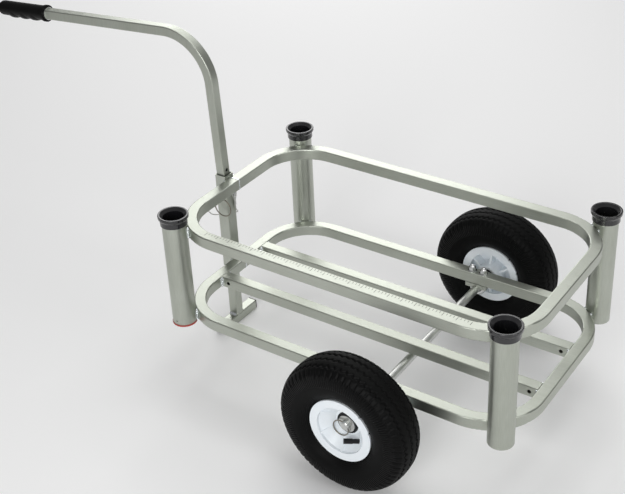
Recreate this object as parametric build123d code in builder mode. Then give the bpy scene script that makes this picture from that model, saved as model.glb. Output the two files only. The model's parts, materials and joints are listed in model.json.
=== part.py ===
"""Two-wheeled beach and pier cart.

Two bent loops of square aluminium tube make an open basket over two slats. A round rod
tube stands at each corner, two pneumatic wheels turn on one cross axle, and a pull handle
is pinned into a receiver post at the front. +X points to the rear, away from the handle,
-Y is the cart's left side, and Z = 0 is the ground.
"""
import os
from math import cos, pi, radians, sin, sqrt, tan

from build123d import *

os.makedirs("parts", exist_ok=True)

# ---- basket: two loops and two slats ----------------------------------------
loop_length = 720.0
loop_width = 406.0
tube_width = 22.2  # square tube of the loops and slats
tube_wall = 1.6
tube_edge = 2.2  # rounding of a tube's long edges
corner_radius = 108.0  # outside of the bent corners
top_loop_top = 342.0
bottom_loop_top = 162.0
slat_spacing = 130.0  # centre to centre
slat_hole_radius = 3.8
slat_hole_inset = 15.5  # from the end of the slat
seam_width = 3.0
seam_height = 0.5
seam_y = 2.0
fit_gap = 0.1  # round a piece pushed on or into another

# ---- rod tubes and their caps -----------------------------------------------
rod_tube_diameter = 45.5
rod_tube_wall = 2.0
rod_tube_top = 365.5
rod_tube_bottom = 138.5
rod_tube_angle = 53.0  # place round the corner, from the cart's length
weld_gap = 0.3
weld_reach = 12.0
weld_root = 4.0
cap_wall = 2.3
cap_skirt = 14.0
cap_lip_radius = 28.2
cap_lip_height = 5.5
cap_sleeve_wall = 1.5
cap_sleeve_depth = 26.0
cap_mouth_radius = 24.5
rim_trim_wall = 0.8
rim_trim_height = 3.0
tube_drain_radius = 1.6
tube_drain_height = 10.0

# ---- receiver post, leg and foot --------------------------------------------
post_width = 25.4
post_wall = 1.6
post_top = 348.0
leg_width = 20.0
leg_wall = 1.6
leg_overlap = 25.0  # length of leg inside the post
foot_length = 110.0  # over the end plugs
plug_flange = 2.2
plug_insert = 12.0
bead = 4.0

# ---- pull handle --------------------------------------------------------------
handle_width = 19.05
handle_wall = 1.6
handle_edge = 2.0
handle_lean = 2.5  # the handle tips back by its slack in the post
handle_bend = 92.0
handle_bend_radius = 95.0  # of the centre line
handle_pivot_drop = 32.5  # from the post's top to the middle of the held length
handle_held_half = 31.5
handle_rise = 218.0  # from that middle to the start of the bend
handle_reach = 309.0  # straight length after the bend
adjust_hole_radius = 3.4
adjust_hole_height = 9.5  # above the post's top
grip_length = 138.0
grip_radius = 15.0
grip_lobe_radius = 14.8
grip_lobe_offset = 3.3  # the finger ridges stand out below only
grip_lobe_count = 3
grip_bore_radius = 9.0
grip_flange_radius = 17.0
grip_flange_width = 5.0
spigot_insert = 22.0
spigot_reach = 110.0
collar_radius = 13.0
collar_width = 4.0

# ---- handle pin, its ring and lanyard -----------------------------------------
pin_radius = 3.1
pin_height = 302.0
pin_clearance = 0.15
pin_tip = 4.0  # past the far side of the post
pin_collar_radius = 5.6
pin_collar_width = 4.0
pin_seat_gap = 0.3
pin_neck_radius = 2.8
pin_neck_width = 3.6
pin_boss_radius = 5.2
pin_boss_width = 5.6
ring_radius = 19.0  # centre line of the pin's ring
ring_wire = 1.1
ring_hole_radius = 2.1
ring_turn = 30.0  # slope of the ring's hole above the cart's length
cord_diameter = 2.0
ferrule_radius = 2.3
ferrule_length = 7.0
stud_y = 8.0
stud_height = 302.0
stud_radius = 1.8
stud_head_radius = 4.0
stud_head = 1.4
frame_eye_reach = 19.0
frame_eye_half = 7.0
pin_eye_reach = 18.0
pin_eye_half = 7.0
pin_eye_tip = 13.0  # ahead of the pin's axis
eye_bend = 3.0
eye_gap = 0.2
# corners of the hanging cable: back from the post's middle, to the right, and up
lanyard_corners = (
    (14.9, 17.0, 257.0), (-3.3, 23.0, 247.0), (-21.3, 14.0, 245.0),
    (-24.3, -8.0, 250.0), (-26.3, -24.0, 262.0), (-36.3, -27.0, 283.0),
)
lanyard_first_run = 12.0
lanyard_last_run = 14.0
cord_bend = 0.45  # share of the shorter run taken up by each bend

# ---- axle and wheels ------------------------------------------------------------
axle_diameter = 15.9
axle_x = 86.0  # behind the middle of the basket
wheel_track = 548.0  # between the wheels' middle planes
tyre_diameter = 254.0
tyre_width = 80.0
tyre_wall = 6.0
tread_wall = 9.0
bead_width = 9.0
bulge_radius = 89.0  # where the tyre is widest
shoulder_radius = 114.0
shoulder_half = 33.5
sidewall_slope = 0.9
cavity_slope = 0.5
bead_rise = 4.0
shoulder_slope = 0.45
flange_radius = 60.4
bead_seat_radius = 50.8
rim_half_width = 30.0
flange_thickness = 3.2
flange_inner_radius = 45.5
hub_radius = 24.5
hub_outer = 3.6  # outboard end of the hub, from the wheel's middle plane
hub_inner = 45.0  # inboard end
dish_edge = 28.0  # outboard end of the conical dish
dish_relief = 3.0  # dish floor below the ribs
inner_floor = 8.0  # inboard face of the web
inner_rib_rim = 25.0  # inboard ribs at the rim and at the hub
inner_rib_hub = 31.0
rib_count = 6
rib_start = 90.0
rib_thickness = 4.0
rib_bury = 1.0
hub_bore = 12.0
notch_angles = (48.9, 17.9)
notch_width = 3.5
notch_depth = 1.8
bearing_radius = 17.5
bearing_width = 11.0
bearing_flange_radius = 20.5
bearing_flange = 1.6
running_clearance = 0.08
washer_radius = 16.0
washer_thickness = 3.0
washer_gap = 0.3
collar_ring_radius = 14.0
collar_ring_width = 12.0
axle_end_margin = 2.4
cotter_hole_radius = 2.5
cotter_ring_radius = 15.0
cotter_wire = 1.0
cotter_turn = 44.0  # slope of the cross hole below the cart's length
inner_tube_wall = 1.5
inner_tube_gap = 2.0
valve_root = (34.0, 11.0, -21.0)  # from the wheel's centre: back, outboard, up
valve_tip = (8.0, 31.0, -17.0)
valve_buried = 12.0  # length of stem behind the dish
valve_stem_radius = 4.0
valve_cap_radius = 4.6
valve_cap_length = 15.0
valve_cap_top = 2.0
valve_thread_radius = 3.4

# ---- U-bolts ----------------------------------------------------------------------
u_bolt_wire = 7.9
u_bolt_clearance = 0.25
u_bolt_hole_clearance = 0.4
saddle_margin = 6.0
nut_across_flats = 12.7
nut_height = 7.0
nut_dome = 5.5  # radius of the domed end
u_washer_radius = 8.6
u_washer_thickness = 1.6

# ---- worked-out sizes and places --------------------------------------------------
up = Vector(-sin(radians(handle_lean)), 0, cos(radians(handle_lean)))
out_angle = radians(handle_lean + handle_bend)
out = Vector(-sin(out_angle), 0, cos(out_angle))
bend_run = handle_bend_radius * tan(radians(handle_bend) / 2)


def handle_points(post_x):
    """Lower end, bend corner and far end of the handle's centre line."""
    pivot = Vector(post_x, 0, post_top - handle_pivot_drop)
    corner = pivot + up * (handle_rise + bend_run)
    return pivot - up * handle_held_half, corner, corner + out * (bend_run + handle_reach)


# the origin is at the middle of the cart's whole length, so the basket stands behind it
tip_offset = handle_points(-loop_length / 2 - post_width / 2)[2] + out * (collar_width + grip_length)
basket_x = -(tip_offset.X + loop_length / 2) / 2

front_x = basket_x - loop_length / 2
post_x = front_x - post_width / 2
wheel_x = basket_x + axle_x
wheel_z = tyre_diameter / 2
axle_radius = axle_diameter / 2
rail_y = loop_width / 2 - tube_width / 2
rod_tube_radius = rod_tube_diameter / 2
rod_tube_bore = rod_tube_radius - rod_tube_wall
cap_bore = rod_tube_bore - cap_sleeve_wall
corner_x = loop_length / 2 - corner_radius
corner_y = loop_width / 2 - corner_radius
rod_offset = corner_radius + weld_gap + rod_tube_radius
rod_tube_x = corner_x + rod_offset * cos(radians(rod_tube_angle))
rod_tube_y = corner_y + rod_offset * sin(radians(rod_tube_angle))
post_bottom = bottom_loop_top - tube_width
handle_low, handle_corner, handle_end = handle_points(post_x)

CORNERS = {
    "front_left": (-1, -1),
    "front_right": (-1, 1),
    "rear_left": (1, -1),
    "rear_right": (1, 1),
}
SIDES = {"left": -1, "right": 1}


def save(piece, name):
    """Label a finished piece and write it."""
    piece.part.label = name
    export_step(piece.part, f"parts/{name}.step")


def square_tube(width, wall, edge):
    """Section of a square tube, drawn in the sketch that is open."""
    RectangleRounded(width, width, edge)
    RectangleRounded(width - 2 * wall, width - 2 * wall, edge - wall / 2, mode=Mode.SUBTRACT)


# ---- loops ------------------------------------------------------------------------
def bent_loop(top):
    """Closed loop of square tube with its top face at the height given."""
    with BuildPart() as loop:
        with BuildSketch(Plane((basket_x, 0, top - tube_width))):
            RectangleRounded(loop_length, loop_width, corner_radius)
            inside = (loop_length - 2 * tube_width, loop_width - 2 * tube_width)
            RectangleRounded(*inside, corner_radius - tube_width, mode=Mode.SUBTRACT)
        extrude(amount=tube_width)
        levels = loop.edges().group_by(Axis.Z)
        fillet(levels[0] + levels[-1], tube_edge)
        with BuildSketch(Plane((basket_x, 0, top - tube_width + tube_wall))):
            skin = 2 * tube_wall
            RectangleRounded(loop_length - skin, loop_width - skin, corner_radius - tube_wall)
            hollow = (inside[0] + skin, inside[1] + skin)
            hollow_radius = corner_radius - tube_width + tube_wall
            RectangleRounded(*hollow, hollow_radius, mode=Mode.SUBTRACT)
        extrude(amount=tube_width - 2 * tube_wall, mode=Mode.SUBTRACT)
    return loop


top_loop = bent_loop(top_loop_top)
save(top_loop, "top_loop")

leg_pitch = axle_diameter + u_bolt_wire + 2 * u_bolt_clearance
u_bolt_holes = [
    (wheel_x + end * leg_pitch / 2, side * rail_y) for side in SIDES.values() for end in (-1, 1)
]
with BuildPart() as bottom_loop:
    add(bent_loop(bottom_loop_top).part)
    with Locations(*[(x, y, bottom_loop_top - tube_width / 2) for x, y in u_bolt_holes]):
        Cylinder(u_bolt_wire / 2 + u_bolt_hole_clearance, 2 * tube_width, mode=Mode.SUBTRACT)
save(bottom_loop, "bottom_loop")

# raised bands where the ends of each loop's tube are welded together
with BuildPart() as loop_seams:
    for top in (top_loop_top, bottom_loop_top):
        seam_start = (front_x + tube_width / 2, seam_y - seam_width / 2, top - tube_width / 2)
        with BuildSketch(Plane(seam_start, x_dir=(1, 0, 0), z_dir=(0, 1, 0))):
            band = tube_width + 2 * seam_height
            RectangleRounded(band, band, tube_edge + seam_height)
            RectangleRounded(tube_width, tube_width, tube_edge, mode=Mode.SUBTRACT)
            with Locations((-band / 2, 0)):
                Rectangle(2 * seam_height, band, mode=Mode.SUBTRACT)
        extrude(amount=seam_width)
save(loop_seams, "loop_seams")

# ---- slats --------------------------------------------------------------------------
slat_length = loop_length - 2 * tube_width
slat_z = bottom_loop_top - tube_width / 2
for name, side in SIDES.items():
    slat_y = side * slat_spacing / 2
    with BuildPart() as slat:
        start = (basket_x - slat_length / 2, slat_y, slat_z)
        with BuildSketch(Plane(start, x_dir=(0, 1, 0), z_dir=(1, 0, 0))):
            square_tube(tube_width, tube_wall, tube_edge)
        extrude(amount=slat_length)
        hole_x = slat_length / 2 - slat_hole_inset
        hole_plane = Plane((basket_x, slat_y + tube_width, slat_z), x_dir=(1, 0, 0), z_dir=(0, 1, 0))
        with BuildSketch(hole_plane):
            with Locations((-hole_x, 0), (hole_x, 0)):
                Circle(slat_hole_radius)
        extrude(amount=-2 * tube_width, mode=Mode.SUBTRACT)
    save(slat, f"{name}_slat")

# ---- rod tubes, caps and the trim on one tube's lower edge ---------------------------
for name, (end, side) in CORNERS.items():
    tube_x = basket_x + end * rod_tube_x
    tube_y = side * rod_tube_y
    with BuildPart() as rod_tube:
        with BuildSketch(Plane((tube_x, tube_y, rod_tube_bottom))):
            Circle(rod_tube_radius)
            Circle(rod_tube_bore, mode=Mode.SUBTRACT)
        extrude(amount=rod_tube_top - rod_tube_bottom)
        if name == "front_left":
            drain = Plane((tube_x, tube_y, rod_tube_bottom + tube_drain_height),
                          x_dir=(1, 0, 0), z_dir=(0, -1, 0))
            with BuildSketch(drain):
                Circle(tube_drain_radius)
            extrude(amount=rod_tube_radius, mode=Mode.SUBTRACT)
    save(rod_tube, f"{name}_rod_tube")

    with BuildPart() as rod_cap:
        axis_plane = Plane((tube_x, tube_y, rod_tube_top), x_dir=(1, 0, 0), z_dir=(0, -1, 0))
        band = rod_tube_radius + cap_wall
        outside = rod_tube_radius + fit_gap
        inside = rod_tube_bore - fit_gap
        with BuildSketch(axis_plane) as cap_section:
            with BuildLine():
                Polyline(
                    (outside, -cap_skirt), (band, -cap_skirt), (band, -2 * cap_wall),
                    (cap_lip_radius, 0), (cap_lip_radius, cap_lip_height),
                    (cap_mouth_radius, cap_lip_height), (cap_bore, 0),
                    (cap_bore, -cap_sleeve_depth), (inside, -cap_sleeve_depth),
                    (inside, 0), (outside, 0), close=True,
                )
            make_face()
            lip = cap_section.vertices().group_by(Axis.Y)[-1]
            fillet(lip, cap_wall / 2)
        revolve(axis=Axis((tube_x, tube_y, 0), (0, 0, 1)))
    save(rod_cap, f"{name}_rod_cap")

with BuildPart() as tube_rim_trim:
    trim_place = (basket_x - rod_tube_x, -rod_tube_y)
    with BuildSketch(Plane((*trim_place, rod_tube_bottom - rim_trim_wall))):
        Circle(rod_tube_radius + rim_trim_wall)
        Circle(rod_tube_bore, mode=Mode.SUBTRACT)
    extrude(amount=rim_trim_height)
    with BuildSketch(Plane((*trim_place, rod_tube_bottom))):
        Circle(rod_tube_radius)
    extrude(amount=rim_trim_height, mode=Mode.SUBTRACT)
save(tube_rim_trim, "front_left_tube_trim")

# ---- welds ----------------------------------------------------------------------------
# each corner's bead fills the wedge between the round tube and the bent corner
weld_height = tube_width - 2 * tube_edge
with BuildPart() as rod_tube_welds:
    for end, side in CORNERS.values():
        bend_place = Vector(basket_x + end * corner_x, side * corner_y, 0)
        tube_place = Vector(basket_x + end * rod_tube_x, side * rod_tube_y, 0)
        outward = (tube_place - bend_place).normalized()
        touch = bend_place + outward * (corner_radius + weld_gap / 2)
        for top in (top_loop_top, bottom_loop_top):
            level = Vector(0, 0, top - tube_width + tube_edge)
            with BuildSketch(Plane(touch + level, x_dir=outward)):
                for half in (-1, 1):
                    with Locations((0, half * (weld_root + weld_reach) / 2)):
                        Rectangle(2 * weld_root, weld_reach - weld_root)
                with Locations((-corner_radius - weld_gap / 2, 0)):
                    Circle(corner_radius, mode=Mode.SUBTRACT)
                with Locations((rod_tube_radius + weld_gap / 2, 0)):
                    Circle(rod_tube_radius, mode=Mode.SUBTRACT)
            extrude(amount=weld_height)
save(rod_tube_welds, "rod_tube_welds")


def corner_bead(place, across, height):
    """Upright three-sided bead in the corner at a place; across gives the way of its two legs."""
    with BuildSketch(Plane(place)) as section:
        with BuildLine():
            Polyline((0, 0), (across[0] * bead, 0), (0, across[1] * bead), close=True)
        make_face()
    extrude(section.sketch, amount=height)


with BuildPart() as slat_welds:
    for end in (-1, 1):
        bar_x = basket_x + end * slat_length / 2
        for side in SIDES.values():
            for face in (-1, 1):
                slat_side = side * slat_spacing / 2 + face * tube_width / 2
                low = post_bottom + tube_edge
                corner_bead((bar_x, slat_side, low), (-end, face), weld_height)
save(slat_welds, "slat_welds")

with BuildPart() as post_welds:
    for top in (top_loop_top, bottom_loop_top):
        for face in (-1, 1):
            post_side = face * post_width / 2
            low = top - tube_width + tube_edge
            corner_bead((front_x, post_side, low), (-1, face), weld_height)
save(post_welds, "post_welds")

leg_top = post_bottom + leg_overlap
foot_top = leg_width
with BuildPart() as leg_welds:
    # under the post's open end, and round the leg's foot
    with BuildSketch(Plane((post_x, 0, post_bottom - bead))):
        RectangleRounded(leg_width + bead / 2, leg_width + bead / 2, tube_edge)
    with BuildSketch(Plane((post_x, 0, post_bottom))):
        RectangleRounded(post_width, post_width, tube_edge)
    loft()
    with BuildSketch(Plane((post_x, 0, post_bottom - bead))):
        RectangleRounded(leg_width, leg_width, leg_wall)
    extrude(amount=bead, mode=Mode.SUBTRACT)
    for face in (-1, 1):
        toe = Plane((post_x - leg_width / 2 + tube_edge, face * leg_width / 2, foot_top),
                    x_dir=(0, face, 0), z_dir=(face, 0, 0))
        with BuildSketch(toe):
            with BuildLine():
                Polyline((0, 0), (bead, 0), (0, bead), close=True)
            make_face()
        extrude(amount=face * (leg_width - 2 * tube_edge))
save(leg_welds, "leg_welds")

# ---- receiver post, leg and foot ---------------------------------------------------------
with BuildPart() as receiver_post:
    with BuildSketch(Plane((post_x, 0, post_bottom))):
        square_tube(post_width, post_wall, tube_edge)
    extrude(amount=post_top - post_bottom)
    with BuildSketch(Plane((post_x, post_width, pin_height), x_dir=(1, 0, 0), z_dir=(0, 1, 0))):
        Circle(pin_radius + pin_clearance)
    extrude(amount=-2 * post_width, mode=Mode.SUBTRACT)
save(receiver_post, "receiver_post")

with BuildPart() as foot_leg:
    with BuildSketch(Plane((post_x, 0, foot_top))):
        square_tube(leg_width, leg_wall, tube_edge)
    extrude(amount=leg_top - foot_top)
save(foot_leg, "foot_leg")

foot_tube_length = foot_length - 2 * plug_flange
foot_end = Plane((post_x, -foot_tube_length / 2, leg_width / 2), x_dir=(1, 0, 0), z_dir=(0, 1, 0))
with BuildPart() as foot_bar:
    with BuildSketch(foot_end):
        square_tube(leg_width, leg_wall, tube_edge)
    extrude(amount=foot_tube_length)
save(foot_bar, "foot_bar")

with BuildPart() as foot_plugs:
    for side in SIDES.values():
        face = Plane((post_x, side * foot_tube_length / 2, leg_width / 2),
                     x_dir=(1, 0, 0), z_dir=(0, side, 0))
        with BuildSketch(face):
            RectangleRounded(leg_width, leg_width, tube_edge)
        extrude(amount=plug_flange)
        with BuildSketch(face):
            bore = leg_width - 2 * leg_wall
            RectangleRounded(bore, bore, tube_edge)
            hollow = bore - 2 * leg_wall
            RectangleRounded(hollow, hollow, leg_wall / 2, mode=Mode.SUBTRACT)
        extrude(amount=-plug_insert)
save(foot_plugs, "foot_plugs")

# ---- pull handle --------------------------------------------------------------------------
adjust_height = post_top + adjust_hole_height
with BuildPart() as handle_tube:
    with BuildLine():
        FilletPolyline(handle_low, handle_corner, handle_end, radius=handle_bend_radius)
    with BuildSketch(Plane(handle_low, x_dir=(0, 1, 0), z_dir=up)):
        square_tube(handle_width, handle_wall, handle_edge)
    sweep()
    with BuildSketch(Plane((post_x, post_width, pin_height), x_dir=(1, 0, 0), z_dir=(0, 1, 0))):
        Circle(pin_radius + pin_clearance)
    extrude(amount=-2 * post_width, mode=Mode.SUBTRACT)
    with BuildSketch(Plane((post_x, 0, adjust_height), x_dir=(0, 1, 0), z_dir=(1, 0, 0))):
        Circle(adjust_hole_radius)
    extrude(amount=handle_width, mode=Mode.SUBTRACT)
save(handle_tube, "handle_tube")

grip_start = handle_end + out * collar_width
with BuildPart() as grip_collar:
    with BuildSketch(Plane(handle_end, x_dir=(0, 1, 0), z_dir=out)):
        Circle(collar_radius)
        Circle(grip_bore_radius, mode=Mode.SUBTRACT)
    extrude(amount=collar_width)
save(grip_collar, "grip_collar")

with BuildPart() as grip_spigot:
    with BuildSketch(Plane(handle_end - out * spigot_insert, x_dir=(0, 1, 0), z_dir=out)):
        spigot_square = handle_width - 2 * handle_wall
        RectangleRounded(spigot_square, spigot_square, handle_edge)
    extrude(amount=spigot_insert)
    with BuildSketch(Plane(handle_end, x_dir=(0, 1, 0), z_dir=out)):
        Circle(grip_bore_radius - fit_gap)
    extrude(amount=spigot_reach)
save(grip_spigot, "grip_spigot")

grip_plane = Plane(grip_start, x_dir=out, z_dir=(0, -1, 0))
with BuildPart() as hand_grip:
    # round body with a flange at the root, closed by a dome
    with BuildSketch(grip_plane):
        with BuildLine():
            body_end = grip_length - grip_radius
            Polyline((body_end, grip_radius), (grip_flange_width, grip_radius),
                     (grip_flange_width, grip_flange_radius), (0, grip_flange_radius),
                     (0, 0), (grip_length, 0))
            ThreePointArc(
                (body_end, grip_radius),
                (body_end + grip_radius * sqrt(0.5), grip_radius * sqrt(0.5)), (grip_length, 0),
            )
        make_face()
    revolve(axis=Axis(grip_start, out))
    # three rounded ridges below part the fingers
    pitch = (body_end - grip_flange_width) / (grip_lobe_count + 1)
    lobe_low = grip_radius - grip_lobe_offset - fit_gap
    for lobe in range(grip_lobe_count):
        middle = grip_flange_width + (lobe + 1) * pitch
        lobe_axis = grip_start + grip_plane.y_dir * grip_lobe_offset
        with BuildSketch(Plane(lobe_axis, x_dir=out, z_dir=(0, -1, 0))):
            with BuildLine():
                ThreePointArc((middle - pitch / 2, lobe_low), (middle, grip_lobe_radius),
                              (middle + pitch / 2, lobe_low))
                Polyline((middle - pitch / 2, lobe_low), (middle - pitch / 2, 0),
                         (middle + pitch / 2, 0), (middle + pitch / 2, lobe_low))
            make_face()
        revolve(axis=Axis(lobe_axis, out))
    with BuildSketch(Plane(grip_start, x_dir=(0, 1, 0), z_dir=out)):
        Circle(grip_bore_radius)
    extrude(amount=spigot_reach - collar_width, mode=Mode.SUBTRACT)
save(hand_grip, "hand_grip")

# ---- handle pin and ring ---------------------------------------------------------------------
collar_y = -post_width / 2 - pin_seat_gap
neck_y = collar_y - pin_collar_width
boss_y = neck_y - pin_neck_width
ring_y = boss_y - pin_boss_width / 2
pin_end_y = post_width / 2 + pin_tip
ring_hole = Vector(post_x, ring_y, pin_height)
ring_along = Vector(cos(radians(ring_turn)), 0, sin(radians(ring_turn)))
ring_below = Vector(sin(radians(ring_turn)), 0, -cos(radians(ring_turn)))


def pin_disc(radius, near_y, length):
    """Length of the pin along +Y from near_y."""
    start = Plane((post_x, near_y, pin_height), x_dir=(1, 0, 0), z_dir=(0, 1, 0))
    with BuildSketch(start) as section:
        Circle(radius)
    extrude(section.sketch, amount=length)


with BuildPart() as handle_pin:
    pin_disc(pin_radius, collar_y, pin_end_y - collar_y)
    chamfer(handle_pin.faces().sort_by(Axis.Y)[-1].edges(), pin_radius / 4)
    pin_disc(pin_collar_radius, neck_y, pin_collar_width)
    pin_disc(pin_neck_radius, boss_y, pin_neck_width)
    pin_disc(pin_boss_radius, boss_y - pin_boss_width, pin_boss_width)
    with BuildSketch(Plane(ring_hole, x_dir=(0, 1, 0), z_dir=ring_along)):
        Circle(ring_hole_radius)
    extrude(amount=2 * pin_boss_radius, both=True, mode=Mode.SUBTRACT)
save(handle_pin, "handle_pin")

with BuildPart() as pin_ring:
    with BuildSketch(Plane(ring_hole, x_dir=(0, 1, 0), z_dir=ring_along)):
        Circle(ring_wire)
    revolve(axis=Axis(ring_hole + ring_below * ring_radius, (0, 1, 0)))
save(pin_ring, "pin_ring")

# ---- lanyard: from a stud on the post's rear face, round the post, to the neck of the pin ------
cord_radius = cord_diameter / 2
eye_x = front_x + ferrule_radius + eye_gap
frame_tip = Vector(eye_x, stud_y, stud_height + stud_radius + eye_gap + cord_radius - frame_eye_reach)
pin_eye_y = (neck_y + boss_y) / 2
pin_tip_place = Vector(post_x - pin_eye_tip, pin_eye_y, pin_height)

with BuildPart() as lanyard_stud:
    stud_end = eye_x + cord_radius + eye_gap
    with BuildSketch(Plane((front_x, stud_y, stud_height), x_dir=(0, 1, 0), z_dir=(1, 0, 0))):
        Circle(stud_radius)
    extrude(amount=stud_end - front_x)
    with BuildSketch(Plane((stud_end, stud_y, stud_height), x_dir=(0, 1, 0), z_dir=(1, 0, 0))):
        Circle(stud_head_radius)
    extrude(amount=stud_head)
    chamfer(lanyard_stud.faces().sort_by(Axis.X)[-1].edges(), stud_head / 2)
save(lanyard_stud, "lanyard_stud")


def cable_eye(tip, along, across, reach, half):
    """Closed eye of cable, both strands starting side by side at the tip."""
    corners = (
        tip - across * cord_radius,
        tip + along * reach - across * half,
        tip + along * reach + across * half,
        tip + across * cord_radius,
    )
    with BuildPart() as eye:
        with BuildLine():
            FilletPolyline(*corners, radius=eye_bend)
        with BuildSketch(Plane(corners[0], z_dir=corners[1] - corners[0])):
            Circle(cord_radius)
        sweep()
        # the strands are cut square where they enter the ferrule
        with BuildSketch(Plane(tip, x_dir=across, z_dir=along)):
            Rectangle(4 * half, 4 * half)
        extrude(amount=-half, mode=Mode.SUBTRACT)
    return eye


def ferrule(tip, along):
    """Crimped sleeve that ends at the tip of an eye."""
    with BuildPart() as sleeve:
        with BuildSketch(Plane(tip, z_dir=along)):
            Circle(ferrule_radius)
        extrude(amount=-ferrule_length)
    return sleeve


rise, reach_back, sideways = Vector(0, 0, 1), Vector(1, 0, 0), Vector(0, 1, 0)
frame_eye = cable_eye(frame_tip, rise, sideways, frame_eye_reach, frame_eye_half)
save(frame_eye, "lanyard_frame_eye")
pin_eye = cable_eye(pin_tip_place, reach_back, rise, pin_eye_reach, pin_eye_half)
save(pin_eye, "lanyard_pin_eye")
frame_ferrule = ferrule(frame_tip, rise)
save(frame_ferrule, "lanyard_frame_ferrule")
pin_ferrule = ferrule(pin_tip_place, reach_back)
save(pin_ferrule, "lanyard_pin_ferrule")

frame_end = frame_tip - rise * ferrule_length
pin_end = pin_tip_place - reach_back * ferrule_length
route = [frame_end, frame_end - rise * lanyard_first_run]
route += [Vector(post_x + back, right, height) for back, right, height in lanyard_corners]
route += [pin_end - reach_back * lanyard_last_run, pin_end]
bends = []
for before, corner, after in zip(route, route[1:], route[2:]):
    run = min((corner - before).length, (after - corner).length)
    half_turn = radians((corner - before).get_angle(after - corner)) / 2
    bends.append(cord_bend * run / tan(half_turn))
with BuildPart() as lanyard_cord:
    with BuildLine() as cord_line:
        FilletPolyline(*route, radius=bends)
    with BuildSketch(Plane(route[0], z_dir=route[1] - route[0])):
        Circle(cord_radius)
    sweep()
save(lanyard_cord, "lanyard_cord")
cord_length = sum(edge.length for edge in cord_line.line.edges())
filled = lanyard_cord.part.volume / (pi * cord_radius**2 * cord_length)
print("lanyard bends", [round(bend, 1) for bend in bends], "length", round(cord_length, 1),
      "volume over section x length", round(filled, 3))

# ---- axle ------------------------------------------------------------------------------------
mid_y = wheel_track / 2
bearing_out = hub_outer + bearing_flange
washer_out = bearing_out + washer_gap + washer_thickness
cotter_y = mid_y + washer_out + washer_gap + cotter_hole_radius + cotter_wire / 2
axle_half = cotter_y + cotter_hole_radius + axle_end_margin
hole_along = Vector(cos(radians(cotter_turn)), 0, -sin(radians(cotter_turn)))
hole_across = Vector(-sin(radians(cotter_turn)), 0, -cos(radians(cotter_turn)))


def across_cart(radius, near_y, length):
    """Round bar along +Y on the axle's line, starting at near_y."""
    start = Plane((wheel_x, near_y, wheel_z), x_dir=(1, 0, 0), z_dir=(0, 1, 0))
    with BuildSketch(start) as section:
        Circle(radius)
    extrude(section.sketch, amount=length)


with BuildPart() as axle:
    across_cart(axle_radius, -axle_half, 2 * axle_half)
    chamfer(axle.edges().filter_by(GeomType.CIRCLE), axle_end_margin / 2)
    for side in SIDES.values():
        hole = Plane((wheel_x, side * cotter_y, wheel_z), x_dir=(0, 1, 0), z_dir=hole_along)
        with BuildSketch(hole):
            Circle(cotter_hole_radius)
        extrude(amount=axle_diameter, both=True, mode=Mode.SUBTRACT)
save(axle, "axle")

inner_face = hub_inner + bearing_flange + washer_gap


def round_axle(radius, spans):
    """Rings round the axle between pairs of distances from the cart's middle."""
    with BuildPart() as rings:
        for near, far in spans:
            for side in SIDES.values():
                start = near if side > 0 else -far
                ring = Plane((wheel_x, start, wheel_z), x_dir=(1, 0, 0), z_dir=(0, 1, 0))
                with BuildSketch(ring):
                    Circle(radius)
                    Circle(axle_radius + fit_gap, mode=Mode.SUBTRACT)
                extrude(amount=far - near)
    return rings


washer_spans = (
    (mid_y + bearing_out + washer_gap, mid_y + washer_out),
    (mid_y - inner_face - washer_thickness, mid_y - inner_face),
)
axle_washers = round_axle(washer_radius, washer_spans)
save(axle_washers, "axle_washers")
collar_outer = mid_y - inner_face - washer_thickness
axle_collars = round_axle(collar_ring_radius, ((collar_outer - collar_ring_width, collar_outer),))
save(axle_collars, "axle_collars")

# ---- saddles and U-bolts -----------------------------------------------------------------------
rail_bottom = bottom_loop_top - tube_width
saddle_length = leg_pitch + u_bolt_wire + 2 * saddle_margin
saddle_bottom = wheel_z + axle_radius / 2
hole_radius = u_bolt_wire / 2 + u_bolt_hole_clearance
with BuildPart() as axle_saddles:
    for side in SIDES.values():
        with BuildSketch(Plane((wheel_x, side * rail_y, saddle_bottom))):
            RectangleRounded(saddle_length, tube_width, tube_edge)
            with Locations((-leg_pitch / 2, 0), (leg_pitch / 2, 0)):
                Circle(hole_radius, mode=Mode.SUBTRACT)
        extrude(amount=rail_bottom - saddle_bottom)
    groove = Plane((wheel_x, -loop_width, wheel_z), x_dir=(1, 0, 0), z_dir=(0, 1, 0))
    with BuildSketch(groove):
        Circle(axle_radius + fit_gap)
    extrude(amount=2 * loop_width, mode=Mode.SUBTRACT)
save(axle_saddles, "axle_saddles")

nut_bottom = bottom_loop_top + u_washer_thickness
bolt_top = nut_bottom + nut_height
with BuildPart() as u_bolts:
    for side in SIDES.values():
        upright = Plane((wheel_x, side * rail_y, wheel_z), x_dir=(1, 0, 0), z_dir=(0, -1, 0))
        with BuildLine(upright):
            reach_up = bolt_top - wheel_z
            Line((-leg_pitch / 2, reach_up), (-leg_pitch / 2, 0))
            ThreePointArc((-leg_pitch / 2, 0), (0, -leg_pitch / 2), (leg_pitch / 2, 0))
            Line((leg_pitch / 2, 0), (leg_pitch / 2, reach_up))
        with BuildSketch(Plane((wheel_x - leg_pitch / 2, side * rail_y, bolt_top), z_dir=(0, 0, -1))):
            Circle(u_bolt_wire / 2)
        sweep()
save(u_bolts, "u_bolts")

with BuildPart() as u_bolt_washers:
    for x, y in u_bolt_holes:
        with BuildSketch(Plane((x, y, bottom_loop_top))):
            Circle(u_washer_radius)
            Circle(hole_radius, mode=Mode.SUBTRACT)
        extrude(amount=u_washer_thickness)
save(u_bolt_washers, "u_bolt_washers")

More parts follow.
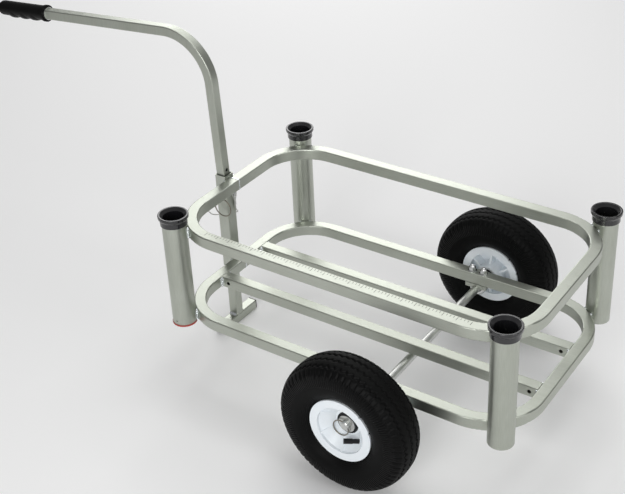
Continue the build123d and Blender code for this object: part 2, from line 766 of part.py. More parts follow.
leg_room = u_bolt_wire / 2 + fit_gap
with BuildPart() as domed_nut:
    # hollow over the end of the leg
    with BuildSketch():
        RegularPolygon(nut_across_flats / 2, 6, major_radius=False)
        Circle(leg_room, mode=Mode.SUBTRACT)
    extrude(amount=nut_height)
    with BuildSketch(Plane((0, 0, nut_height), x_dir=(1, 0, 0), z_dir=(0, -1, 0))):
        with BuildLine():
            Polyline((0, nut_dome), (0, fit_gap), (leg_room, fit_gap), (leg_room, 0), (nut_dome, 0))
            ThreePointArc((nut_dome, 0), (nut_dome * sqrt(0.5), nut_dome * sqrt(0.5)), (0, nut_dome))
        make_face()
    revolve(axis=Axis.Z)
with BuildPart() as u_bolt_nuts:
    with Locations(*[(x, y, nut_bottom) for x, y in u_bolt_holes]):
        add(domed_nut.part)
save(u_bolt_nuts, "u_bolt_nuts")

# ---- wheels ---------------------------------------------------------------------------------------
tyre_radius = tyre_diameter / 2
half_width = tyre_width / 2
flange_face = rim_half_width - flange_thickness
pocket_radius = bearing_radius + fit_gap


for name, side in SIDES.items():
    wheel_plane = Plane((wheel_x, side * mid_y, wheel_z), x_dir=(1, 0, 0), z_dir=(0, 0, side))
    wheel_axis = Axis((wheel_x, 0, wheel_z), (0, 1, 0))
    outboard = Vector(0, side, 0)

    with BuildPart() as rim:
        with BuildSketch(wheel_plane):
            with BuildLine():
                Polyline(
                    (pocket_radius, hub_outer), (hub_radius, hub_outer),
                    (flange_inner_radius, dish_edge - dish_relief),
                    (flange_inner_radius, rim_half_width), (flange_radius, rim_half_width),
                    (flange_radius, flange_face), (bead_seat_radius, flange_face),
                    (bead_seat_radius, -flange_face), (flange_radius, -flange_face),
                    (flange_radius, -rim_half_width), (flange_inner_radius, -rim_half_width),
                    (flange_inner_radius, -inner_floor), (hub_radius, -inner_floor),
                    (hub_radius, -hub_inner), (pocket_radius, -hub_inner),
                    (pocket_radius, bearing_width - hub_inner),
                    (hub_bore, bearing_width - hub_inner), (hub_bore, hub_outer - bearing_width),
                    (pocket_radius, hub_outer - bearing_width), close=True,
                )
            make_face()
        revolve(axis=wheel_axis)
        for rib in range(rib_count):
            turn = radians(rib * 360 / rib_count + rib_start)
            radial = Vector(cos(turn), 0, sin(turn))
            rib_plane = Plane(wheel_plane.origin, x_dir=radial, z_dir=radial.cross(outboard))
            rib_root = hub_radius - rib_bury
            rib_end = flange_inner_radius + rib_bury
            with BuildSketch(rib_plane):
                with BuildLine():
                    Polyline(
                        (rib_root, 0), (rib_root, hub_outer - rib_bury),
                        (rib_end, dish_edge + rib_bury), (rib_end, 0), close=True,
                    )
                make_face()
                with BuildLine():
                    Polyline(
                        (rib_root, 0), (rib_end, 0), (rib_end, -inner_rib_rim),
                        (rib_root, -inner_rib_hub), close=True,
                    )
                make_face()
            extrude(amount=rib_thickness / 2, both=True)
        for angle in notch_angles:
            turn = radians(angle)
            rim_edge = Vector(flange_radius * cos(turn), 0, flange_radius * sin(turn))
            with BuildSketch(Plane(wheel_plane.origin + rim_edge, x_dir=rim_edge, z_dir=outboard)):
                Rectangle(2 * notch_depth, notch_width)
            extrude(amount=2 * rim_half_width, both=True, mode=Mode.SUBTRACT)
        root_place = wheel_plane.origin + Vector(valve_root[0], side * valve_root[1], valve_root[2])
        tip_place = wheel_plane.origin + Vector(valve_tip[0], side * valve_tip[1], valve_tip[2])
        valve_along = (tip_place - root_place).normalized()
        valve_start = root_place - valve_along * valve_buried
        with BuildSketch(Plane(valve_start - valve_along * valve_buried, z_dir=valve_along)):
            Circle(valve_stem_radius + fit_gap)
        extrude(amount=3 * valve_buried, mode=Mode.SUBTRACT)
    save(rim, f"{name}_rim")

    with BuildPart() as tyre:
        with BuildSketch(wheel_plane):
            with BuildLine():
                seat = bead_seat_radius + fit_gap
                toe = flange_face - bead_width
                crown = tyre_radius - tread_wall
                bead_top, bead_room = flange_radius + bead_rise, toe + bead_rise
                bulge_room = half_width - tyre_wall
                shoulder_low, shoulder_room = shoulder_radius - tread_wall, shoulder_half - tread_wall
                for half in (1, -1):
                    edge = half * flange_face
                    Polyline((seat, half * toe), (seat, edge), (flange_radius, edge))
                    Spline(
                        (flange_radius, edge), (bulge_radius, half * half_width),
                        (shoulder_radius, half * shoulder_half),
                        tangents=((sidewall_slope, half), (1, -half * shoulder_slope)),
                    )
                    Spline(
                        (seat, half * toe), (bead_top, half * bead_room),
                        (bulge_radius, half * bulge_room), (shoulder_low, half * shoulder_room),
                        (crown, 0), tangents=((1, half * cavity_slope), (0, -half)),
                    )
                ThreePointArc((shoulder_radius, shoulder_half), (tyre_radius, 0),
                              (shoulder_radius, -shoulder_half))
            make_face()
        revolve(axis=wheel_axis)
    save(tyre, f"{name}_tyre")

    with BuildPart() as inner_tube:
        for inset, use in ((inner_tube_gap, Mode.ADD), (inner_tube_gap + inner_tube_wall, Mode.SUBTRACT)):
            with BuildSketch(wheel_plane):
                with BuildLine():
                    for half in (1, -1):
                        Spline(
                            (seat + inset, 0), (bead_top, half * (bead_room - 2 * inset)),
                            (bulge_radius, half * (bulge_room - inset)),
                            (shoulder_low - inset, half * (shoulder_room - inset)),
                            (crown - inset, 0), tangents=((0, half), (0, -half)),
                        )
                make_face()
            revolve(axis=wheel_axis, mode=use)
    save(inner_tube, f"{name}_inner_tube")

    with BuildPart() as bearings:
        # a flanged bearing in each end of the hub
        for face, inward in ((hub_outer, -1), (-hub_inner, 1)):
            with BuildSketch(wheel_plane):
                with BuildLine():
                    bore = axle_radius + running_clearance
                    Polyline(
                        (bore, face - inward * bearing_flange),
                        (bearing_flange_radius, face - inward * bearing_flange),
                        (bearing_flange_radius, face), (bearing_radius, face),
                        (bearing_radius, face + inward * bearing_width),
                        (bore, face + inward * bearing_width), close=True,
                    )
                make_face()
            revolve(axis=wheel_axis)
    save(bearings, f"{name}_bearings")

    stem_length = (tip_place - root_place).length - valve_cap_top
    with BuildPart() as valve_stem:
        with BuildSketch(Plane(valve_start, z_dir=valve_along)):
            Circle(valve_stem_radius)
        extrude(amount=valve_buried + stem_length + valve_cap_top - valve_cap_length)
        with BuildSketch(Plane(valve_start, z_dir=valve_along)):
            Circle(valve_thread_radius)
        extrude(amount=valve_buried + stem_length)
    save(valve_stem, f"{name}_valve_stem")

    with BuildPart() as valve_cap:
        with BuildSketch(Plane(tip_place, z_dir=-valve_along)):
            Circle(valve_cap_radius)
        extrude(amount=valve_cap_length)
        with BuildSketch(Plane(tip_place - valve_along * valve_cap_top, z_dir=-valve_along)):
            Circle(valve_thread_radius + fit_gap)
        extrude(amount=valve_cap_length, mode=Mode.SUBTRACT)
    save(valve_cap, f"{name}_valve_cap")

    hole_place = Vector(wheel_x, side * cotter_y, wheel_z)
    sagitta = cotter_ring_radius - sqrt(cotter_ring_radius**2 - axle_radius**2)
    wire_place = hole_place - hole_across * (sagitta / 2)
    with BuildPart() as ring_cotter:
        with BuildSketch(Plane(wire_place, x_dir=(0, 1, 0), z_dir=hole_along)):
            Circle(cotter_wire)
        revolve(axis=Axis(wire_place + hole_across * cotter_ring_radius, (0, 1, 0)))
    save(ring_cotter, f"{name}_ring_cotter")
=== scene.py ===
"""Looks of the two-wheeled beach cart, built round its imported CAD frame.

Lengths are in metres. +X points to the rear of the cart, -Y is its left side, and the
ground is Z = 0.
"""

import json
from math import cos, pi, radians, sin

import bpy
import numpy as np
from mathutils import Matrix, Vector


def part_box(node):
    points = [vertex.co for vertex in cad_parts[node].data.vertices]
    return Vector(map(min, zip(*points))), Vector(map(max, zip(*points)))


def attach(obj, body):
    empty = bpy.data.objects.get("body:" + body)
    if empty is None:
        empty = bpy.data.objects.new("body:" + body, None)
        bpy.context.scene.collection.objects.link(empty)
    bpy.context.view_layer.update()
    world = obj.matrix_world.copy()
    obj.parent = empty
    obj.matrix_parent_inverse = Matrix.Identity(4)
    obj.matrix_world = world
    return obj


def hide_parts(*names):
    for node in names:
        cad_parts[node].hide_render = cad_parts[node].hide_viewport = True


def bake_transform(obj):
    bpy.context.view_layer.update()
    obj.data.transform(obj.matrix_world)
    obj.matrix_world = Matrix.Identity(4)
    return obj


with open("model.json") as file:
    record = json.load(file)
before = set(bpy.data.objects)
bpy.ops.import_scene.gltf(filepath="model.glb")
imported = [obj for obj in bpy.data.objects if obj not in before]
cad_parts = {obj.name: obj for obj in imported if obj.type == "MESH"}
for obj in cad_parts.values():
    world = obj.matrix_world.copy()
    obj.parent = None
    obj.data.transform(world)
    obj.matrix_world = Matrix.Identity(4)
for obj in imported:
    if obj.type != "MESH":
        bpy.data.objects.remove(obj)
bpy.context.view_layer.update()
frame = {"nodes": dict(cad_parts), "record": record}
MM = 0.001

# ---- sizes shared by the pieces below ------------------------------------------------
CORNER_RADIUS = 108 * MM
TUBE_WIDTH = 22.2 * MM
TUBE_EDGE = 2.2 * MM
RULE_DIVISIONS = 21
RULE_PITCH = 25.4 * MM
RULE_START = -267 * MM  # from the middle of the basket

SIDES = {"left": -1, "right": 1}
CORNERS = {
    "front_left": (-1, -1),
    "front_right": (-1, 1),
    "rear_left": (1, -1),
    "rear_right": (1, 1),
}


def middle(node):
    """Centre of a CAD node's box."""
    low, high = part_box(node)
    return (Vector(low) + Vector(high)) / 2


AXLE = middle("axle")
BASKET = middle("top_loop")


# ---- shader maths ---------------------------------------------------------------------
class Reckoned:
    """A shader value; arithmetic on it adds Math nodes to its material."""

    def __init__(self, finish, socket):
        self.finish, self.socket = finish, socket

    def math(self, operation, *others):
        values = {index: other for index, other in enumerate((self, *others))}
        return self.finish.add("ShaderNodeMath", {"operation": operation}, values)

    def __add__(self, other):
        return self.math("ADD", other)

    __radd__ = __add__

    def __mul__(self, other):
        return self.math("MULTIPLY", other)

    __rmul__ = __mul__

    def __sub__(self, other):
        return self.math("SUBTRACT", other)

    def __rsub__(self, other):
        return (self * -1) + other

    def __truediv__(self, other):
        return self.math("DIVIDE", other)

    def clamped(self):
        return self.math("MAXIMUM", 0.0).math("MINIMUM", 1.0)

    def step_up(self, start, end):
        """0 below start, 1 above end."""
        return ((self - start) / (end - start)).clamped()


class Finish:
    """A material and the one Principled shader that it feeds."""

    def __init__(self, name, **sockets):
        self.material = bpy.data.materials.new(name)
        self.material.use_nodes = True
        self.tree = self.material.node_tree
        self.shader = self.tree.nodes["Principled BSDF"]
        for socket, value in sockets.items():
            self.shader.inputs[socket.replace("_", " ")].default_value = value

    def add(self, kind, settings=None, values=None, output=0):
        node = self.tree.nodes.new(kind)
        for key, value in (settings or {}).items():
            setattr(node, key, value)
        for key, value in (values or {}).items():
            self.feed(node.inputs[key], value)
        return Reckoned(self, node.outputs[output])

    def feed(self, socket, value):
        if isinstance(value, Reckoned):
            self.tree.links.new(value.socket, socket)
        else:
            socket.default_value = value

    def place(self):
        """Object coordinates, which are metres in the cart's own frame."""
        return self.add("ShaderNodeTexCoord", output="Object")

    def stretched(self, scale):
        return self.add("ShaderNodeMapping", {"vector_type": "POINT"},
                        {"Vector": self.place(), "Scale": scale})

    def noise(self, scale, stretch=(1, 1, 1), detail=4.0, roughness=0.55):
        values = {"Vector": self.stretched(stretch), "Scale": scale, "Detail": detail,
                  "Roughness": roughness}
        return self.add("ShaderNodeTexNoise", {}, values, "Fac")

    def axes(self, vector=None):
        vector = vector or self.place()
        node = self.tree.nodes.new("ShaderNodeSeparateXYZ")
        self.feed(node.inputs[0], vector)
        return [Reckoned(self, output) for output in node.outputs]

    def blended(self, share, low, high):
        values = {"Factor": share, 6: (*low, 1), 7: (*high, 1)}
        return self.add("ShaderNodeMix", {"data_type": "RGBA"}, values, 2)

    def colour(self, value):
        self.feed(self.shader.inputs["Base Color"], value)

    def roughness(self, value):
        self.feed(self.shader.inputs["Roughness"], value)

    def relief(self, height, depth, strength=1.0):
        """Bump from a height that runs from 0 to 1, depth metres deep."""
        values = {"Height": height, "Distance": depth, "Strength": strength}
        self.feed(self.shader.inputs["Normal"], self.add("ShaderNodeBump", {}, values))


# ---- finishes -------------------------------------------------------------------------
def satin_aluminium(name, grain):
    """Mill-finished tube: fine drawing lines along it, faint handling marks and dull patches."""
    metal = Finish(name, Metallic=1.0, IOR=1.45)
    lines = metal.noise(1.0, grain, detail=3.0)
    patches = metal.noise(9.0, detail=3.0)
    marks = metal.noise(140.0, detail=2.0).step_up(0.62, 0.75)
    tone = (lines * 0.5 + patches * 0.5).step_up(0.3, 0.7)
    metal.colour(metal.blended(tone, (0.41, 0.43, 0.375), (0.52, 0.545, 0.49)))
    metal.roughness(lines * 0.16 + patches * 0.10 + marks * 0.08 + 0.25)
    metal.relief(lines, 0.00006, 0.5)
    return metal.material


def weld_with_painted_highlight():
    """Aluminium weld bead with its ripples; its bluish-white colour is a painted highlight."""
    metal = Finish("weld_with_painted_highlight", Metallic=1.0)
    ripples = metal.noise(420.0, (1, 1, 1), detail=2.0)
    # painted highlight: the bead is coloured lighter and bluer than the tube to stand for the highlights
    # on the welds
    metal.colour(metal.blended(ripples, (0.72, 0.76, 0.78), (0.90, 0.93, 0.94)))
    metal.roughness(ripples * 0.2 + 0.14)
    metal.relief(ripples, 0.0006)
    return metal.material


def plated_steel(name, dark, light, rough, wear=0.12):
    metal = Finish(name, Metallic=1.0)
    smudges = metal.noise(60.0, detail=3.0)
    scratches = metal.noise(700.0, (1, 1, 6), detail=2.0)
    metal.colour(metal.blended(smudges, dark, light))
    metal.roughness(smudges * wear + scratches * 0.06 + rough)
    metal.relief(scratches, 0.00004, 0.4)
    return metal.material


def moulded(name, dark, light, rough, grain=380.0, depth=0.00006, coat=0.0, gloss=0.5):
    """Moulded plastic or rubber: a fine skin with slow changes of sheen."""
    skin = Finish(name, Coat_Weight=coat, Coat_Roughness=0.12, Specular_IOR_Level=gloss)
    cloud = skin.noise(28.0, detail=3.0)
    texture = skin.noise(grain, detail=2.0)
    skin.colour(skin.blended(cloud, dark, light))
    skin.roughness(cloud * 0.12 + texture * 0.08 + rough)
    skin.relief(texture, depth)
    return skin.material


def tyre_rubber():
    """Black rubber, greyer on the running face, with fine radial ribs below the shoulder."""
    rubber = Finish("tyre_rubber", Specular_IOR_Level=0.1)
    along, _, height = rubber.axes()
    back, rise = along - AXLE.x, height - AXLE.z
    reach = (back * back + rise * rise).math("SQRT")
    turn = rise.math("ARCTAN2", back)
    ribs = ((turn * 150.0).math("SINE") * 0.5 + 0.5) * reach.step_up(0.091, 0.094)
    ribs = ribs * (1 - reach.step_up(0.111, 0.114))
    rings = ((reach * 2400.0).math("SINE") * 0.5 + 0.5) * (1 - reach.step_up(0.072, 0.078))
    worn = reach.step_up(0.1235, 0.1272)
    dust = rubber.noise(45.0, detail=5.0)
    shade = (worn * 0.35 + dust * 0.4 - 0.05).clamped()
    rubber.colour(rubber.blended(shade, (0.001, 0.0011, 0.0012), (0.005, 0.0052, 0.0048)))
    rubber.roughness(dust * 0.15 + worn * 0.12 + 0.42)
    rubber.relief(ribs * 0.8 + rings * 0.25 + rubber.noise(600.0, detail=2.0) * 0.12, 0.0012)
    return rubber.material


def printed_black():
    ink = Finish("printed_black")
    wear = ink.noise(900.0, detail=2.0)
    ink.colour(ink.blended(wear, (0.015, 0.015, 0.015), (0.05, 0.05, 0.048)))
    ink.roughness(wear * 0.2 + 0.45)
    return ink.material


def twisted_cable():
    """Thin steel rope: strands run round it at a slant, with painted shade in the grooves between them.
    """
    steel = Finish("twisted_cable", Metallic=1.0)
    along, across, height = steel.axes()
    strands = ((along * 2600.0 + across * 1900.0 + height * 3100.0).math("SINE") * 0.5 + 0.5)
    # painted shade: the colour is darkest in the grooves between strands, where the bump is lowest
    steel.colour(steel.blended(strands, (0.42, 0.42, 0.40), (0.80, 0.80, 0.77)))
    steel.roughness(strands * 0.15 + 0.3)
    steel.relief(strands, 0.0003)
    return steel.material


LONG, WIDE, TALL = (40, 900, 900), (900, 40, 900), (900, 900, 40)
ALUMINIUM = {
    "along": satin_aluminium("aluminium_along", LONG),
    "across": satin_aluminium("aluminium_across", WIDE),
    "upright": satin_aluminium("aluminium_upright", TALL),
}
UPRIGHT_PIECES = ("rod_tube", "receiver_post", "foot_leg", "handle_tube")
FINISHES = {
    "weld": weld_with_painted_highlight(),
    "black_vinyl": moulded("black_vinyl", (0.006, 0.006, 0.007), (0.014, 0.014, 0.016), 0.16, coat=0.5),
    "red_trim": moulded("red_trim", (0.34, 0.03, 0.02), (0.48, 0.06, 0.04), 0.32),
    "grip_rubber": moulded("grip_rubber", (0.0015, 0.0015, 0.0015), (0.004, 0.004, 0.004), 0.3, 520.0,
                           0.00015, gloss=0.12),
    "bright_steel": plated_steel("bright_steel", (0.62, 0.63, 0.63), (0.86, 0.87, 0.87), 0.10),
    "axle_steel": plated_steel("axle_steel", (0.52, 0.53, 0.51), (0.70, 0.71, 0.69), 0.24),
    "spring_wire": plated_steel("spring_wire", (0.16, 0.14, 0.11), (0.34, 0.31, 0.26), 0.26),
    "tyre_rubber": tyre_rubber(),
    "rim_plastic": moulded("rim_plastic", (0.84, 0.90, 0.95), (0.90, 0.94, 0.97), 0.30, coat=0.15),
    "black_plastic": moulded("black_plastic", (0.004, 0.004, 0.005), (0.009, 0.009, 0.011), 0.34,
                             gloss=0.3),
    "tube_rubber": moulded("tube_rubber", (0.02, 0.02, 0.02), (0.035, 0.035, 0.035), 0.6),
}


def aluminium_for(node):
    if any(word in node for word in UPRIGHT_PIECES):
        return ALUMINIUM["upright"]
    return ALUMINIUM["across" if node == "foot_bar" else "along"]


for subpart in frame["record"]["subparts"]:
    node, slot = subpart["node"], subpart["material_slot"]
    material = aluminium_for(node) if slot == "frame" else FINISHES[slot]
    for piece_slot in frame["nodes"][node].material_slots:
        piece_slot.material = material


# ---- helpers for new pieces --------------------------------------------------------------
def mesh_piece(name, vertices, faces, material, smooth=True):
    mesh = bpy.data.meshes.new(name)
    mesh.from_pydata([tuple(vertex) for vertex in vertices], [], faces)
    mesh.materials.append(material)
    mesh.polygons.foreach_set("use_smooth", [smooth] * len(mesh.polygons))
    mesh.update()
    piece = bpy.data.objects.new(name, mesh)
    bpy.context.scene.collection.objects.link(piece)
    return piece


def plain_mesh(source):
    """What an object evaluates to, as a mesh of its own."""
    graph = bpy.context.evaluated_depsgraph_get()
    graph.update()
    return bpy.data.meshes.new_from_object(source.evaluated_get(graph))


class Tree:
    """A Geometry Nodes tree with named inputs, run once on a source mesh."""

    def __init__(self, name, **sizes):
        self.group = bpy.data.node_groups.new(name, "GeometryNodeTree")
        self.group.interface.new_socket("Geometry", in_out="INPUT", socket_type="NodeSocketGeometry")
        self.sockets = {}
        for size, value in sizes.items():
            socket = self.group.interface.new_socket(size, in_out="INPUT", socket_type="NodeSocketFloat")
            self.sockets[socket.identifier] = value
        self.group.interface.new_socket("Geometry", in_out="OUTPUT", socket_type="NodeSocketGeometry")
        self.source = self.group.nodes.new("NodeGroupInput")

    def size(self, name):
        return self.source.outputs[name]

    def add(self, kind, settings=None, values=None):
        node = self.group.nodes.new(kind)
        for key, value in (settings or {}).items():
            setattr(node, key, value)
        for key, value in (values or {}).items():
            if isinstance(value, bpy.types.NodeSocket):
                self.group.links.new(value, node.inputs[key])
            else:
                node.inputs[key].default_value = value
        return node.outputs

    def made(self, name, geometry, source, material):
        """Realizes the geometry as one plain mesh piece."""
        real = self.add("GeometryNodeRealizeInstances", {}, {"Geometry": geometry})[0]
        dressed = self.add("GeometryNodeSetMaterial", {}, {"Geometry": real})
        dressed[0].node.inputs["Material"].default_value = material
        self.group.links.new(dressed[0], self.group.nodes.new("NodeGroupOutput").inputs[0])
        modifier = source.modifiers.new(name, "NODES")
        modifier.node_group = self.group
        for identifier, value in self.sockets.items():
            modifier[identifier] = value
        mesh = plain_mesh(source)
        mesh.name = name
        bpy.data.objects.remove(source)
        piece = bpy.data.objects.new(name, mesh)
        bpy.context.scene.collection.objects.link(piece)
        return piece


# ---- tyres -----------------------------------------------------------------------------------
TREAD_PITCHES = 64  # saw teeth round the tyre
STEPS_PER_PITCH = 8
GROOVES = (-23, -8, 8, 23)  # middle lines of the zigzag grooves, in mm from the middle plane
GROOVE_HALF = 1.5 * MM
GROOVE_DEPTH = 2.6 * MM
ZIGZAG = 2.2 * MM
SHOULDER_START = 29 * MM
SHOULDER_DEPTH = 2.0 * MM


def tyre_section():
    """Outside of the tyre from bead to bead as (radius, distance outboard), then its inside."""
    side = [(50.9, 26.8), (60.4, 26.8), (63.5, 29.6), (68, 33.4), (74, 36.8), (81, 39.1), (89, 40.0),
            (98, 39.7), (105.5, 38.5), (111.3, 36.6), (114.9, 34.5), (117.4, 32.3)]
    crown = [(127 - 7.2 * (abs(y) / 30.5) ** 2.6, y) for y in np.linspace(30.5, -30.5, 55)]
    inside = [(50.9, 17.8), (64, 22), (89, 34), (107, 24.5), (118, 0)]
    outside = side + crown + [(r, -y) for r, y in reversed(side)]
    cavity = [(r, -y) for r, y in inside] + list(reversed(inside[:-1]))
    return [(r * MM, y * MM) for r, y in outside], [(r * MM, y * MM) for r, y in cavity]


def smooth_step(value):
    value = np.clip(value, 0, 1)
    return value * value * (3 - 2 * value)


def tread_cut(turn, outboard, reach):
    """How deep the tread is cut at a turn and a distance from the tyre's middle plane."""
    phase = (turn * TREAD_PITCHES / (2 * pi)) % 1.0
    saw = np.where(phase < 0.7, phase / 0.7, (1 - phase) / 0.3) - 0.5
    running = smooth_step((reach - 116 * MM) / (3 * MM))
    cut = np.zeros_like(turn)
    for groove in GROOVES:
        lean = 1 if groove > 0 else -1
        distance = np.abs(outboard - groove * MM - lean * 2 * ZIGZAG * saw)
        cut = np.maximum(cut, 1 - smooth_step((distance - GROOVE_HALF * 0.5) / GROOVE_HALF))
    block = smooth_step((np.abs(outboard) - SHOULDER_START) / (1.5 * MM))
    notch = (1 - smooth_step((np.abs(phase - 0.85) - 0.08) / 0.10)) * block
    notch = notch * smooth_step((reach - 108 * MM) / (3 * MM))
    return np.maximum(cut * GROOVE_DEPTH * running, notch * SHOULDER_DEPTH)


def tyre(name, side):
    outside, cavity = tyre_section()
    section = np.array(outside + cavity)
    steps = TREAD_PITCHES * STEPS_PER_PITCH
    turns = np.arange(steps) * 2 * pi / steps
    turn, reach = np.meshgrid(turns, section[:, 0], indexing="ij")
    outboard = np.broadcast_to(section[:, 1], reach.shape)
    is_outside = np.arange(len(section)) < len(outside)
    cut = tread_cut(turn, outboard, reach) * is_outside
    reach = reach - cut
    centre_y = middle(f"{name}_tyre").y
    points = np.stack([AXLE.x + reach * np.cos(turn), centre_y + side * outboard,
                       AXLE.z + reach * np.sin(turn)], axis=-1).reshape(-1, 3)
    count = len(section)
    faces = []
    for step in range(steps):
        here, there = step * count, ((step + 1) % steps) * count
        for spot in range(count):
            after = (spot + 1) % count
            ring = (here + spot, here + after, there + after, there + spot)
            faces.append(ring if side > 0 else ring[::-1])
    piece = mesh_piece(f"{name}_balloon_tyre", points, faces, FINISHES["tyre_rubber"])
    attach(piece, f"{name}_wheel")
    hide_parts(f"{name}_tyre")


for side_name, side in SIDES.items():
    tyre(side_name, side)


# ---- weld beads --------------------------------------------------------------------------------
def weld_lines():
    """Ends of each visible bead: tube corners, slat ends and the post's sides."""
    lines = []
    loops = [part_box("top_loop"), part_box("bottom_loop")]
    for name, (end, side) in CORNERS.items():
        tube = middle(f"{name}_rod_tube")
        bend = Vector((BASKET.x + end * (0.360 - CORNER_RADIUS), side * (0.203 - CORNER_RADIUS), 0))
        outward = Vector((tube.x, tube.y, 0)) - bend
        outward.normalize()
        sideways = Vector((-outward.y, outward.x, 0))
        touch = bend + outward * (CORNER_RADIUS + 1.4 * MM)
        for low, high in loops:
            for half in (-1, 1):
                foot = touch + sideways * (half * 11.2 * MM)
                lines.append((foot + Vector((0, 0, low[2] + TUBE_EDGE)),
                              foot + Vector((0, 0, high[2] - TUBE_EDGE))))
    low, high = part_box("bottom_loop")
    for end in (-1, 1):
        bar_x = BASKET.x + end * (0.360 - TUBE_WIDTH - 1.3 * MM)
        for name in SIDES:
            slat_low, slat_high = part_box(f"{name}_slat")
            for y in (slat_low[1] - 1.3 * MM, slat_high[1] + 1.3 * MM):
                lines.append((Vector((bar_x, y, low[2] + TUBE_EDGE)),
                              Vector((bar_x, y, high[2] - TUBE_EDGE))))
    post_low, post_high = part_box("receiver_post")
    for low, high in loops:
        for y in (post_low[1] - 1.3 * MM, post_high[1] + 1.3 * MM):
            lines.append((Vector((post_high[0] - 1.3 * MM, y, low[2] + TUBE_EDGE)),
                          Vector((post_high[0] - 1.3 * MM, y, high[2] - TUBE_EDGE))))
    return lines


def weld_beads():
    """A row of overlapping puddles along each weld."""
    lines = weld_lines()
    mesh = bpy.data.meshes.new("weld_lines")
    ends = [point for line in lines for point in line]
    mesh.from_pydata(ends, [(2 * index, 2 * index + 1) for index in range(len(lines))], [])
    source = bpy.data.objects.new("weld_lines", mesh)
    bpy.context.scene.collection.objects.link(source)
    tree = Tree("weld_beads", Spacing=1.7 * MM, Radius=2.5 * MM)
    curve = tree.add("GeometryNodeMeshToCurve", {}, {"Mesh": tree.source.outputs["Geometry"]})
    spots = tree.add("GeometryNodeCurveToPoints", {"mode": "LENGTH"},
                     {"Curve": curve[0], "Length": tree.size("Spacing")})
    puddle = tree.add("GeometryNodeMeshUVSphere", {}, {"Segments": 12, "Rings": 6,
                                                        "Radius": tree.size("Radius")})
    soft = tree.add("GeometryNodeSetShadeSmooth", {}, {"Geometry": puddle[0]})
    row = tree.add("GeometryNodeInstanceOnPoints", {}, {
        "Points": spots["Points"], "Instance": soft[0], "Rotation": spots["Rotation"],
        "Scale": (1.0, 1.0, 0.55)})
    piece = tree.made("weld_beads", row[0], source, FINISHES["weld"])
    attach(piece, "cart")


weld_beads()


# ---- measuring rule printed on the left rail ---------------------------------------------------
def printed_rule():
    """Ticks every quarter division, longer at each whole one; no figures."""
    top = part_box("top_loop")[1][2]
    rail_inner = -0.203 + TUBE_WIDTH
    tick = 0.9 * MM
    mesh = bpy.data.meshes.new("rule_line")
    start = Vector((BASKET.x + RULE_START, rail_inner - TUBE_EDGE - 1.0 * MM, top + 0.06 * MM))
    quarters = RULE_DIVISIONS * 4
    ticks = [start + Vector((step * RULE_PITCH / 4, 0, 0)) for step in range(quarters + 1)]
    mesh.from_pydata(ticks, [], [])
    source = bpy.data.objects.new("rule_line", mesh)
    bpy.context.scene.collection.objects.link(source)
    tree = Tree("rule_ticks", Width=tick, Short=5.0 * MM, Long=9.0 * MM, Thickness=0.1 * MM)
    index = tree.add("GeometryNodeInputIndex")[0]
    part = tree.add("ShaderNodeMath", {"operation": "MODULO"}, {0: index, 1: 4.0})[0]
    whole = tree.add("ShaderNodeMath", {"operation": "LESS_THAN"}, {0: part, 1: 0.5})[0]
    gain = tree.add("ShaderNodeMath", {"operation": "SUBTRACT"},
                    {0: tree.size("Long"), 1: tree.size("Short")})[0]
    length = tree.add("ShaderNodeMath", {"operation": "MULTIPLY_ADD"},
                      {0: whole, 1: gain, 2: tree.size("Short")})[0]
    scale = tree.add("ShaderNodeCombineXYZ", {},
                     {"X": tree.size("Width"), "Y": length, "Z": tree.size("Thickness")})[0]
    back = tree.add("ShaderNodeMath", {"operation": "MULTIPLY"}, {0: length, 1: -0.5})[0]
    shift = tree.add("ShaderNodeCombineXYZ", {}, {"Y": back})[0]
    moved = tree.add("GeometryNodeSetPosition", {},
                     {"Geometry": tree.source.outputs["Geometry"], "Offset": shift})
    box = tree.add("GeometryNodeMeshCube", {}, {"Size": (1.0, 1.0, 1.0)})
    row = tree.add("GeometryNodeInstanceOnPoints", {},
                   {"Points": moved[0], "Instance": box[0], "Scale": scale})
    piece = tree.made("printed_rule", row[0], source, printed_black())
    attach(piece, "cart")


printed_rule()


# ---- lanyard -------------------------------------------------------------------------------------
def lanyard():
    """The limp cable hangs from its ferrule, passes round the post and rises to the pin."""
    cord_low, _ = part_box("lanyard_frame_ferrule")
    frame_ferrule, pin_ferrule = middle("lanyard_frame_ferrule"), middle("lanyard_pin_ferrule")
    post = middle("receiver_post")
    leave = Vector((frame_ferrule.x, frame_ferrule.y, cord_low[2]))
    arrive = Vector((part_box("lanyard_pin_ferrule")[0][0], pin_ferrule.y, pin_ferrule.z))
    turns = [(14.9, 17.0, 257.0), (-3.3, 23.0, 247.0), (-21.3, 14.0, 245.0),
             (-24.3, -8.0, 250.0), (-26.3, -24.0, 262.0), (-36.3, -27.0, 283.0)]
    route = [leave, leave - Vector((0, 0, 12 * MM))]
    route += [Vector((post.x + back * MM, right * MM, up * MM)) for back, right, up in turns]
    route += [arrive - Vector((14 * MM, 0, 0)), arrive]
    curve = bpy.data.curves.new("lanyard_cable", "CURVE")
    curve.dimensions = "3D"
    curve.resolution_u = 12
    spline = curve.splines.new("NURBS")
    spline.points.add(len(route) - 1)
    for point, spot in zip(spline.points, route):
        point.co = (*spot, 1)
    spline.order_u = 3
    spline.use_endpoint_u = True
    curve.materials.append(twisted_cable())
    line = bpy.data.objects.new("lanyard_line", curve)
    bpy.context.scene.collection.objects.link(line)
    path = [tuple(vertex.co) for vertex in plain_mesh(line).vertices]
    curve.bevel_depth = 1.0 * MM
    curve.bevel_resolution = 4
    curve.use_fill_caps = True
    cable = bpy.data.objects.new("lanyard_cable", plain_mesh(line))
    bpy.data.objects.remove(line)
    bpy.context.scene.collection.objects.link(cable)
    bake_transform(cable)
    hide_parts("lanyard_cord")


lanyard()


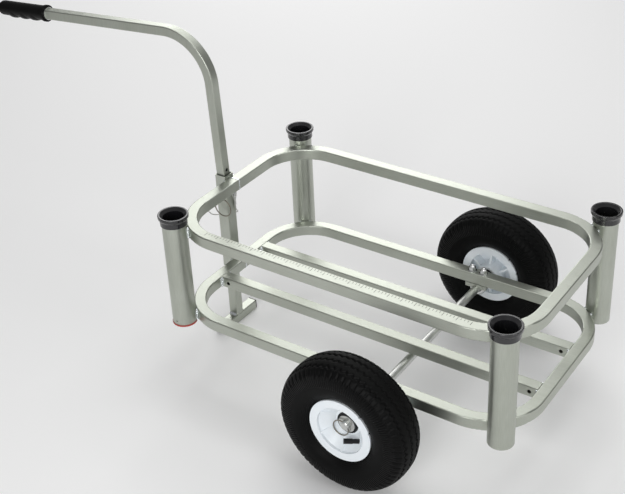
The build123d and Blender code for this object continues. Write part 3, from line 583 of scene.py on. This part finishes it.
# ---- floor, lights and camera ----------------------------------------------------------------------
def studio():
    floor = mesh_piece("studio_floor", [(-6, -6, 0), (6, -6, 0), (6, 6, 0), (-6, 6, 0)], [(0, 1, 2, 3)],
                       bpy.data.materials.new("studio_floor"), smooth=False)
    floor.location.z = -0.0005
    paper = floor.data.materials[0]
    paper.use_nodes = True
    paper.node_tree.nodes["Principled BSDF"].inputs["Base Color"].default_value = (0.93, 0.93, 0.93, 1)
    paper.node_tree.nodes["Principled BSDF"].inputs["Roughness"].default_value = 0.9
    world = bpy.data.worlds.new("studio")
    world.use_nodes = True
    world.node_tree.nodes["Background"].inputs["Color"].default_value = (1.0, 1.0, 1.0, 1)
    world.node_tree.nodes["Background"].inputs["Strength"].default_value = 0.26
    bpy.context.scene.world = world
    bpy.context.scene.view_settings.view_transform = "Standard"
    softboxes = {
        "overhead": ((0.2, 0.7, 3.0), (0.1, 0, 0.2), 2.4, 34),
        "left_bank": ((1.0, -3.1, 1.6), (0.1, 0, 0.2), 1.3, 48),
        "far_bank": ((-1.8, 2.8, 1.9), (0.1, 0, 0.2), 2.2, 40),
        "rear_bank": ((3.0, -0.6, 1.2), (0.1, 0, 0.2), 1.0, 14),
    }
    for name, (place, aim, width, power) in softboxes.items():
        light = bpy.data.lights.new(name, "AREA")
        light.shape = "SQUARE"
        light.size = width
        light.energy = power
        lamp = bpy.data.objects.new(name, light)
        lamp.location = place
        lamp.rotation_euler = (Vector(aim) - Vector(place)).to_track_quat("-Z", "Y").to_euler()
        bpy.context.scene.collection.objects.link(lamp)


def camera():
    """Three-quarter view from the rear left, above the cart."""
    azimuth, elevation, roll = radians(-55.63), radians(29.94), radians(-2.2)
    aim = Vector((BASKET.x - 0.21405, 0.15373, 0.255))
    distance = 2.39638
    image_width, image_height = 625, 494
    focal, centre_x, centre_y = 1192.3, 337.07, 200.69
    toward = Vector((cos(elevation) * cos(azimuth), cos(elevation) * sin(azimuth), sin(elevation)))
    right = Vector((-sin(azimuth), cos(azimuth), 0))
    down = -toward.cross(right)
    turned_right = right * cos(roll) - down * sin(roll)
    turned_down = right * sin(roll) + down * cos(roll)
    data = bpy.data.cameras.new("camera")
    data.sensor_width = 36
    data.lens = 36 * focal / image_width
    data.shift_x = (image_width / 2 - centre_x) / image_width
    data.shift_y = (centre_y - image_height / 2) / image_width
    eye = bpy.data.objects.new("camera", data)
    place = Matrix((turned_right, -turned_down, toward)).transposed().to_4x4()
    place.translation = aim + toward * distance
    eye.matrix_world = place
    bpy.context.scene.collection.objects.link(eye)
    bpy.context.scene.camera = eye


studio()
camera()
